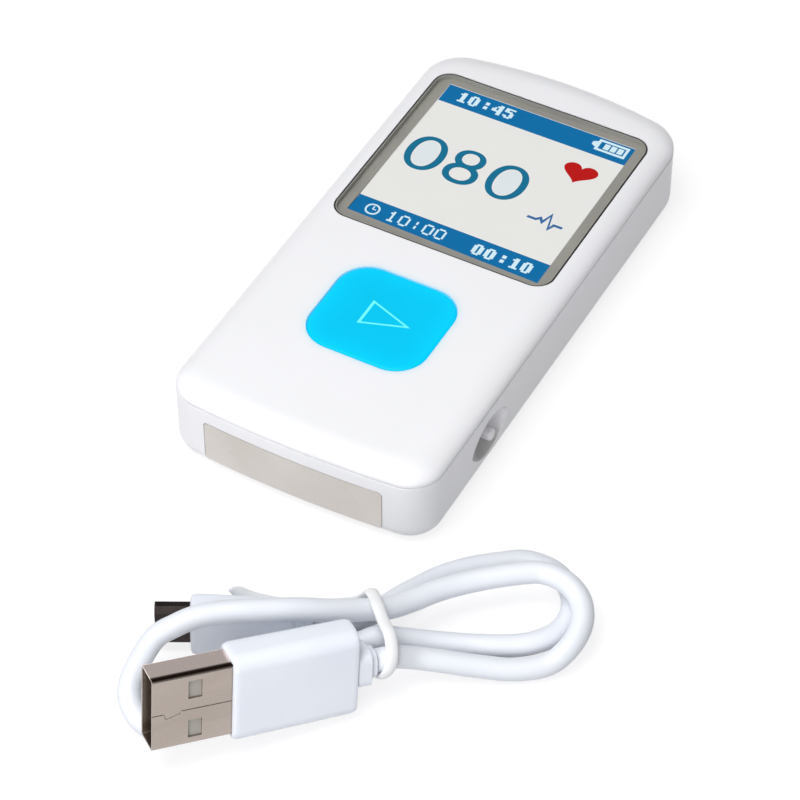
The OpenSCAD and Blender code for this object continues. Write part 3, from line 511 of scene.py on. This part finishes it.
def plate(name, outlines, low, high, holes=(), body="monitor"):
    """Flat plates from outlines in millimetres, filled round any holes and given a thickness."""
    build = bmesh.new()
    edges = []
    for outline in [*outlines, *holes]:
        ring = [build.verts.new((x * MM, y * MM, low * MM)) for x, y in outline]
        edges += [build.edges.new((a, b)) for a, b in zip(ring, ring[1:] + ring[:1])]
    bmesh.ops.triangle_fill(build, use_beauty=True, edges=edges)
    bmesh.ops.recalc_face_normals(build, faces=build.faces)
    for face in build.faces:
        if face.normal.z > 0:
            face.normal_flip()
    top = bmesh.ops.extrude_face_region(build, geom=build.faces[:])
    bmesh.ops.translate(build, vec=(0, 0, (high - low) * MM),
                        verts=[v for v in top["geom"] if isinstance(v, bmesh.types.BMVert)])
    bmesh.ops.recalc_face_normals(build, faces=build.faces)
    piece = link(name, build)
    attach(piece, body)
    return piece


SCREEN_EDGE = [(-17.3, 2.15), (17, 1.3), (17, 36.8), (-17, 36.8)]
RIM, BORDER_IN, SKIRT_IN, PANE_IN = 0.2, 0.3, 0.34, 0.35  # how far in from the window's edge
pane = plate("window_pane", [rounded_outline(WINDOW, PANE_IN)], WINDOW_Z + 0.06, WINDOW_TOP)
plate("window_border", [rounded_outline(WINDOW, BORDER_IN)], WINDOW_Z, WINDOW_Z + 0.05,
      holes=[SCREEN_EDGE])
plate("window_skirt", [rounded_outline(WINDOW, RIM)], WINDOW_Z, WINDOW_TOP - 0.02,
      holes=[rounded_outline(WINDOW, SKIRT_IN)])
# Painted shade: a thin black band at the window's edge stands in for the shadowed gap round it.
plate("window_gap_shade", [rounded_outline(WINDOW)], WINDOW_Z, WINDOW_TOP - 0.01,
      holes=[rounded_outline(WINDOW, RIM)])
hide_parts("display_window")
print("window", WINDOW["w"], "x", WINDOW["l"], "x", round(WINDOW_TOP - WINDOW_Z, 2), "mm")

clear = finish("clear_pane", (linear(80, 84, 86), linear(74, 78, 80)), (0.04, 0.07), bump=0.0001,
               Alpha=0.03, IOR=1.45)
border_grey = finish("printed_border", (linear(162, 160, 152), linear(151, 149, 142)), (0.4, 0.5),
                     broad=120, bump=0.001)
# This black serves both the real adhesive tape under the window and the painted gap shade at its rim.
gap_shade_and_tape_black = finish("black_tape_and_gap_shade", (linear(38, 36, 34), linear(30, 29, 28)), (0.6, 0.75), bump=0.002)
wear(clear, "window_pane")
wear(border_grey, "window_border", "window_skirt")
wear(gap_shade_and_tape_black, "window_gap_shade", "window_adhesive")

# %% [markdown]
# ## The picture on the display
# The display shows a blue bar above and below, three large numerals, a heart and a battery sign. Each
# is a plate a few hundredths of a millimetre thick on the panel, so that it stays sharp from any side.
# The large numerals are rings with thin tops and fuller sides; the small ones come from a pattern of
# square dots, as such a display really draws them. The signs are generic: numerals only, no words.

# %% Shapes of the picture
PANEL_TOP = 13.25


def at_screen(points, x=0.0, y=0.0, size=1.0):
    """Points measured from the middle of the lit area, moved and scaled."""
    return [(x + px * size, SCREEN_Y + y + py * size) for px, py in points]


def oval(rx, ry, x=0.0, y=0.0, steps=40, fullness=2.15):
    """A slightly squared oval."""
    points = []
    for i in range(steps):
        a = 2 * math.pi * i / steps
        c, s = math.cos(a), math.sin(a)
        points.append((x + rx * math.copysign(abs(c) ** (2 / fullness), c),
                       y + ry * math.copysign(abs(s) ** (2 / fullness), s)))
    return points


def rectangle(x0, y0, x1, y1):
    """The corners of a rectangle from its low and its high corner."""
    return [(x0, y0), (x1, y0), (x1, y1), (x0, y1)]


DOTS = {
    "0": ("01110", "11011", "11011", "11011", "11011", "11011", "01110"),
    "1": ("00110", "01110", "00110", "00110", "00110", "00110", "01111"),
    "4": ("00011", "00111", "01011", "11011", "11111", "00011", "00011"),
    "5": ("11111", "11000", "11110", "00011", "00011", "11011", "01110"),
    ":": ("00000", "00110", "00110", "00000", "00110", "00110", "00000"),
}
THIN_DOTS = {
    "0": ("01110", "10001", "10001", "10001", "10001", "10001", "01110"),
    "1": ("00100", "01100", "00100", "00100", "00100", "00100", "01110"),
    ":": ("00000", "00100", "00100", "00000", "00100", "00100", "00000"),
}


def small_numerals(text, left, bottom, dots, pitch=2.15, dot=0.345):
    """Rows of dots joined into bars, one outline each."""
    outlines = []
    for place, letter in enumerate(text):
        for row, line in enumerate(dots[letter]):
            column = 0
            while column < 5:
                if line[column] == "0":
                    column += 1
                    continue
                run = column
                while run < 5 and line[run] == "1":
                    run += 1
                x, y = left + place * pitch + column * dot, bottom + (6 - row) * dot
                outlines.append(rectangle(x, y, x + (run - column) * dot - 0.01, y + dot - 0.01))
                column = run
    return outlines


HEART = [(0, 1.05)]
for i in range(1, 40):
    a = 2 * math.pi * i / 40
    lobes = 13 * math.cos(a) - 5 * math.cos(2 * a) - 2 * math.cos(3 * a) - math.cos(4 * a)
    HEART.append((math.sin(a) ** 3 * 2.75, lobes / 13 * 1.95))

# %% Plates of the picture
on_bar = PANEL_TOP + 0.03
plate("screen_bars", [at_screen(rectangle(-17, 13.45, 17, 17.8)),
                      at_screen([(-17.3, -16.9), (17, -17.8), (17, -13.0), (-17.2, -12.7)])],
      PANEL_TOP, on_bar)
NUMERAL_X, NUMERAL_Y = (-12.55, -5.4, 2.2), 0.85
for number, x in (("1", NUMERAL_X[0]), ("3", NUMERAL_X[2])):
    plate("screen_numeral_" + number, [at_screen(oval(3.3, 4.2), x, NUMERAL_Y)], PANEL_TOP, on_bar,
          holes=[at_screen(oval(2.08, 3.34), x, NUMERAL_Y)])
plate("screen_numeral_2_top", [at_screen(oval(2.6, 2.25, y=1.95), NUMERAL_X[1], NUMERAL_Y)],
      PANEL_TOP, on_bar + 0.006,
      holes=[at_screen(oval(1.45, 1.38, y=2.07), NUMERAL_X[1], NUMERAL_Y)])
plate("screen_numeral_2_base", [at_screen(oval(3.0, 2.45, y=-1.75), NUMERAL_X[1], NUMERAL_Y)],
      PANEL_TOP, on_bar,
      holes=[at_screen(oval(1.8, 1.5, y=-1.8), NUMERAL_X[1], NUMERAL_Y)])
plate("screen_counters", [at_screen(oval(1.85, 3.1), NUMERAL_X[k], NUMERAL_Y) for k in (0, 2)],
      PANEL_TOP, on_bar - 0.02)
plate("screen_heart", [at_screen(HEART, 11.4, 8.45, 1.07)], PANEL_TOP, on_bar)

CLOCK, BATTERY = (-13.7, -14.95), (10.8, 14.7)
plate("screen_white_marks", [
    *[at_screen(o) for o in small_numerals("10:45", -14.6, 14.6, DOTS)],
    *[at_screen(o) for o in small_numerals("00:10", 4.45, -16.5, DOTS)],
    *[at_screen(o) for o in small_numerals("10:00", -11.0, -16.2, THIN_DOTS)],
    at_screen(oval(1.25, 1.25), *CLOCK),
    at_screen([(0, 0), (5.4, 0), (5.4, 2.7), (0, 2.7), (0, 2.1), (-0.8, 1.7), (-0.8, 1.0), (0, 0.6)],
              *BATTERY),
], on_bar, on_bar + 0.03, holes=[
    at_screen(oval(0.95, 0.95), *CLOCK),
    at_screen(rectangle(0.5, 0.45, 4.95, 2.25), *BATTERY),
])
plate("screen_inside_marks", [
    *[at_screen(rectangle(x, 0.7, x + 0.95, 2.0), *BATTERY) for x in (1.3, 2.5, 3.7)],
    at_screen(rectangle(-0.1, -0.05, 0.1, 0.75), *CLOCK),
    at_screen(rectangle(0.1, -0.05, 0.6, 0.13), *CLOCK),
], on_bar, on_bar + 0.03)
PULSE = [(0, 0), (1.5, 0), (2.1, 0.6), (2.7, -0.2), (3.4, 2.0), (4.2, -1.2), (4.7, 0), (6.2, 0)]


def ribbon(points, width):
    """The outline of an even band along a line with corners."""
    ways = [(Vector(b) - Vector(a)).normalized() for a, b in zip(points, points[1:])]
    left, right = [], []
    for k, p in enumerate(points):
        before, after = ways[max(k - 1, 0)], ways[min(k, len(ways) - 1)]
        side = (before + after).orthogonal().normalized()
        reach = min(width / 2 / max(side.dot(before.orthogonal()), 0.4), width)
        left.append(tuple(Vector(p) + side * reach))
        right.append(tuple(Vector(p) - side * reach))
    return left + right[::-1]


plate("screen_pulse", [at_screen(ribbon(PULSE, 0.5), 8.6, -4.6)], PANEL_TOP, on_bar)

# %% [markdown]
# The picture is made by light from behind, so its colours are half paint and half glow: they hold
# their value in shade, and still take a little of the room's light.

# %% Finish of the picture
def lit(name, colour, glow=0.75, paint=0.3):
    """A lit display colour."""
    dark = tuple(c * paint for c in colour[:3]) + (1.0,)
    return finish(name, (dark, tuple(c * 0.94 for c in dark[:3]) + (1.0,)), (0.5, 0.6), bump=0.0002,
                  Specular_IOR_Level=0.04, Emission_Color=colour, Emission_Strength=glow)


wear(lit("lit_white", linear(233, 233, 230), glow=0.76), "display_panel")
wear(lit("lit_shade", linear(222, 229, 232), glow=0.78), "screen_counters")
wear(lit("lit_blue", linear(3, 110, 168)), "screen_bars")
wear(lit("lit_teal", linear(16, 112, 148)), "screen_numeral_1", "screen_numeral_2_top",
     "screen_numeral_2_base", "screen_numeral_3")
wear(lit("lit_red", linear(188, 16, 14)), "screen_heart")
wear(lit("lit_slate", linear(56, 108, 164)), "screen_pulse")
wear(lit("lit_pale", linear(214, 240, 250)), "screen_white_marks", "screen_inside_marks")

# %% [markdown]
# ## The button
# The button is a translucent blue moulding, lit from inside by four small lights. It is brightest
# near its rim, where the lights sit, and a little deeper in the middle. Its mark is a thin triangle
# outline, paler than the button.

# %% Finish of the button
button_blue = finish("lit_blue_button", (linear(0, 138, 176), linear(0, 142, 181)), (0.36, 0.44),
                     broad=80,
                     bump=0.0002, rounded=0.2, Emission_Strength=0.62, Specular_IOR_Level=0.08)
RIM_RATE = 0.38
tree, shader, _ = paint_of(button_blue)
rim_share = growth(tree, edge_distance(tree, BUTTON), RIM_RATE)
tree.links.new(blend_colours(tree, rim_share, linear(0, 188, 220), linear(0, 213, 252)),
               shader.inputs["Emission Color"])
wear(button_blue, "power_button")

MARK_Z, MARK_LINE = 14.6, 0.83  # height, and the inner triangle's share of the outer
corners = [(4.9, 0.0), (-2.9, 2.75), (-2.9, -2.75)]
middle = (sum(x for x, _ in corners) / 3, sum(y for _, y in corners) / 3)


def on_button(points):
    """Points measured from the middle of the button."""
    return [(x + BUTTON["x"], y + BUTTON["y"]) for x, y in points]


def shrunk(points, share):
    """A triangle drawn smaller about the mark's middle."""
    return [(middle[0] + (x - middle[0]) * share, middle[1] + (y - middle[1]) * share)
            for x, y in points]


plate("button_mark", [on_button(corners)], MARK_Z - 0.01, MARK_Z + 0.012,
      holes=[on_button(shrunk(corners, MARK_LINE))], body="button")
mark_pale = finish("pale_mark", (linear(90, 222, 252), linear(80, 216, 250)), (0.35, 0.45),
                   bump=0.0005, Emission_Color=linear(120, 225, 250), Emission_Strength=0.35)
wear(mark_pale, "button_mark")
print("mark", corners[0][0] - corners[1][0], "mm long")

# %% [markdown]
# ## The plugs and the cord
# The plug's metal shell is nickel-plated sheet: fully metallic, a warm grey, with a faint brushing
# along its length. The grips are moulded in a bluish white, softer than the housing, and the cord's
# sleeve is the same plastic with a satin skin.

# %% Painted reflections on the nickel
def local_axes(tree, at, turn):
    """A plug's own coordinates in millimetres, from its place and turn."""
    place = tree.nodes.new("ShaderNodeTexCoord")
    own = tree.nodes.new("ShaderNodeMapping")
    own.vector_type = "TEXTURE"
    own.inputs["Location"].default_value = [c * MM for c in at]
    own.inputs["Rotation"].default_value = [math.radians(c) for c in turn]
    own.inputs["Scale"].default_value = (MM, MM, MM)
    parts = tree.nodes.new("ShaderNodeSeparateXYZ")
    tree.links.new(place.outputs["Object"], own.inputs["Vector"])
    tree.links.new(own.outputs["Vector"], parts.inputs[0])
    return parts.outputs


def nickel_with_painted_reflections():
    """The nickel, with painted reflections: pale on its top face, dark along that face's near edge."""
    plated = finish("nickel_plate", (linear(177, 166, 158), linear(169, 158, 149)), (0.22, 0.28),
                    broad=200,
                    fine=3000, bump=0.0002, stretch=(0.35, 0.35, 1.6), rounded=0.12, Metallic=1.0)
    tree, shader, plain = paint_of(plated)
    _, across, height = local_axes(tree, USB_PLUG_AT, USB_PLUG_TURN)
    # Painted reflection: the top face is painted pale, and a dark band along its rounded near edge is
    # painted as the reflection of dark surroundings.
    top = step_up(tree, height, 5.6, 5.9)
    painted_pale_top = blend_colours(tree, top, plain, linear(250, 232, 224))
    painted_dark_edge = maths(tree, "MULTIPLY", top, step_up(tree, across, 1.1, 1.6))
    tree.links.new(blend_colours(tree, painted_dark_edge, painted_pale_top, linear(44, 30, 24)), shader.inputs["Base Color"])
    return plated


# %% Finish of the plugs and the cord
plated_dark = finish("dark_nickel_plate", (linear(62, 55, 54), linear(50, 44, 43)), (0.24, 0.34),
                     broad=300, fine=3000, bump=0.0002, rounded=0.1, Metallic=0.9)
grip_white = finish("white_grip", (linear(241, 245, 252), linear(236, 241, 250)), (0.38, 0.46),
                    broad=90, fine=1600, bump=0.0006, rounded=0.2)
cord_white = finish("white_cord", (linear(235, 238, 244), linear(230, 234, 241)), (0.4, 0.48),
                    broad=120, fine=1600, bump=0.0008)
tie_white = finish("white_tie", (linear(246, 247, 248), linear(240, 242, 243)), (0.32, 0.4),
                   broad=200, fine=1600, bump=0.0006)
wear(nickel_with_painted_reflections(), "usb_a_shell")
wear(plated_dark, "small_plug_shell")
wear(grip_white, "usb_a_grip", "small_plug_grip")
wear(cord_white, "soft_cord")
wear(tie_white, "wire_tie")

# %% [markdown]
# ## What the housing holds
# Nothing inside shows in the picture, but the model can be opened, so each inner piece has a finish of
# its own: green board, black packages, tinned cans, a foil pouch cell and gold contacts.

# %% Finish of the inner pieces
board_green = finish("solder_mask", (linear(24, 104, 56), linear(18, 88, 46)), (0.3, 0.42), broad=500,
                     fine=1800, bump=0.006)
package_black = finish("black_package", (linear(42, 43, 46), linear(34, 35, 37)), (0.5, 0.65),
                       bump=0.004)
tinned = finish("tinned_sheet", (linear(200, 203, 207), linear(186, 190, 194)), (0.24, 0.36),
                bump=0.002, rounded=0.1, Metallic=1.0)
gold = finish("gold_contact", (linear(226, 190, 110), linear(212, 174, 92)), (0.2, 0.3), bump=0.001,
              Metallic=1.0)
foil = finish("foil_pouch", (linear(200, 204, 210), linear(186, 190, 198)), (0.28, 0.42), broad=160,
              fine=1200, bump=0.02, Metallic=0.8)
foam = finish("grey_foam", (linear(70, 70, 70), linear(56, 56, 56)), (0.85, 0.95), fine=2400,
              bump=0.06)
natural = finish("natural_plastic", (linear(240, 239, 234), linear(232, 231, 226)), (0.45, 0.55),
                 bump=0.002)
shaded_plastic = finish("shaded_plastic", (linear(176, 172, 164), linear(168, 163, 155)), (0.5, 0.6),
                        bump=0.002)
ivory = finish("ivory_plastic", (linear(238, 231, 216), linear(230, 222, 206)), (0.45, 0.55),
               bump=0.002)
film = finish("amber_film", (linear(204, 128, 40), linear(190, 114, 30)), (0.25, 0.35), bump=0.001)
red_sleeve = finish("red_sleeve", (linear(186, 34, 40), linear(170, 28, 34)), (0.4, 0.5), bump=0.002)
lamp_lens = finish("lamp_lens", (linear(245, 243, 205), linear(240, 236, 190)), (0.2, 0.3),
                   bump=0.001, Emission_Color=linear(220, 245, 255), Emission_Strength=0.5)
screw_steel = finish("screw_steel", (linear(170, 172, 176), linear(150, 152, 156)), (0.25, 0.4),
                     bump=0.003, rounded=0.08, Metallic=1.0)
wear(board_green, "main_board")
wear(package_black, "board_chips", "ribbon_connector", "switch_plunger", "buzzer", "socket_insulator",
     "small_plug_insulator", "tact_switch")
wear(tinned, "shield_can", "charging_socket")
wear(gold, "contact_pins", "usb_a_contacts")
wear(foil, "battery")
wear(foam, "battery_foam")
wear(natural, "display_carrier", "button_light_frame")
wear(shaded_plastic, "usb_a_insulator")
wear(ivory, "battery_plug")
wear(film, "display_ribbon")
wear(red_sleeve, "battery_leads")
wear(lamp_lens, "button_lights")
wear(screw_steel, "case_screws")
print("finishes in all:", len(bpy.data.materials))

# %% [markdown]
# ## Floor and light
# The monitor lies on a pale table in a white studio. The floor is white to the camera and in
# reflections, and keeps a faint shadow; to the light that bounces about it is a grey floor. One large
# soft lamp hangs high at the front left, a weaker one stands low in front and lights the end with the
# finger plate, and a third beside the camera lets the metal of the plug shine. The room is dimmer on
# its right side, so that side of the housing falls in shade.

# %% Floor
build = bmesh.new()
bmesh.ops.create_grid(build, x_segments=1, y_segments=1, size=3.0)
floor = link("floor", build)
paper = bpy.data.materials.new("pale_paper")
paper.use_nodes = True
tree = paper.node_tree
tree.nodes.clear()
seen = add(tree, "ShaderNodeLightPath")
looks = maths(tree, "MAXIMUM", seen.outputs["Is Camera Ray"], seen.outputs["Is Glossy Ray"])
looks = maths(tree, "MAXIMUM", looks, seen.outputs["Is Transmission Ray"])
matt = add(tree, "ShaderNodeBsdfDiffuse", Color=linear(186, 186, 189))
shade = add(tree, "ShaderNodeBsdfDiffuse", Color=(0.3, 0.3, 0.31, 1))
white = add(tree, "ShaderNodeEmission", Color=(1, 1, 1, 1), Strength=0.76)
both = add(tree, "ShaderNodeAddShader")
pick = add(tree, "ShaderNodeMixShader")
out = add(tree, "ShaderNodeOutputMaterial")
for source, target in ((shade.outputs[0], both.inputs[0]), (white.outputs[0], both.inputs[1]),
                       (looks, pick.inputs[0]), (matt.outputs[0], pick.inputs[1]),
                       (both.outputs[0], pick.inputs[2]), (pick.outputs[0], out.inputs["Surface"])):
    tree.links.new(source, target)
floor.data.materials.append(paper)

# %% Room and lamps
world = bpy.data.worlds.new("studio")
bpy.context.scene.world = world
world.use_nodes = True
tree = world.node_tree
sky = tree.nodes["Background"]
seen = add(tree, "ShaderNodeLightPath")
looks = maths(tree, "MAXIMUM", seen.outputs["Is Camera Ray"], seen.outputs["Is Transmission Ray"])
way = tree.nodes.new("ShaderNodeSeparateXYZ")
tree.links.new(add(tree, "ShaderNodeTexCoord").outputs["Generated"], way.inputs[0])
ROOM_LIGHT, ROOM_SLOPE = 0.37, 0.1  # in the middle, and how much it falls to the right
dim = maths(tree, "SUBTRACT", ROOM_LIGHT, maths(tree, "MULTIPLY", way.outputs["X"], ROOM_SLOPE))
sky.inputs["Color"].default_value = (0.98, 0.985, 1.0, 1)
tree.links.new(maths(tree, "MAXIMUM", looks, dim), sky.inputs["Strength"])


def soft_lamp(name, place, size, power):
    """A square area lamp that faces the object."""
    lamp = bpy.data.objects.new(name, bpy.data.lights.new(name, "AREA"))
    lamp.data.size = size
    lamp.data.energy = power
    lamp.location = place
    aim = Vector((0, -0.02, 0)) - lamp.location
    lamp.rotation_euler = aim.to_track_quat("-Z", "Y").to_euler()
    bpy.context.scene.collection.objects.link(lamp)
    print(name, round(lamp.location.length, 3), "m away,", power, "W")


soft_lamp("key_lamp", Vector((-0.08, -0.18, 0.56)), 0.34, 1.9)
soft_lamp("front_lamp", Vector((0.04, -0.46, 0.16)), 0.26, 0.7)
soft_lamp("camera_side_lamp", Vector((0.165, -0.345, 0.36)), 0.3, 0.33)

# %% [markdown]
# ## The view transform
# Colours are shown through the Standard view transform.

# %% View transform
bpy.context.scene.view_settings.view_transform = "Standard"
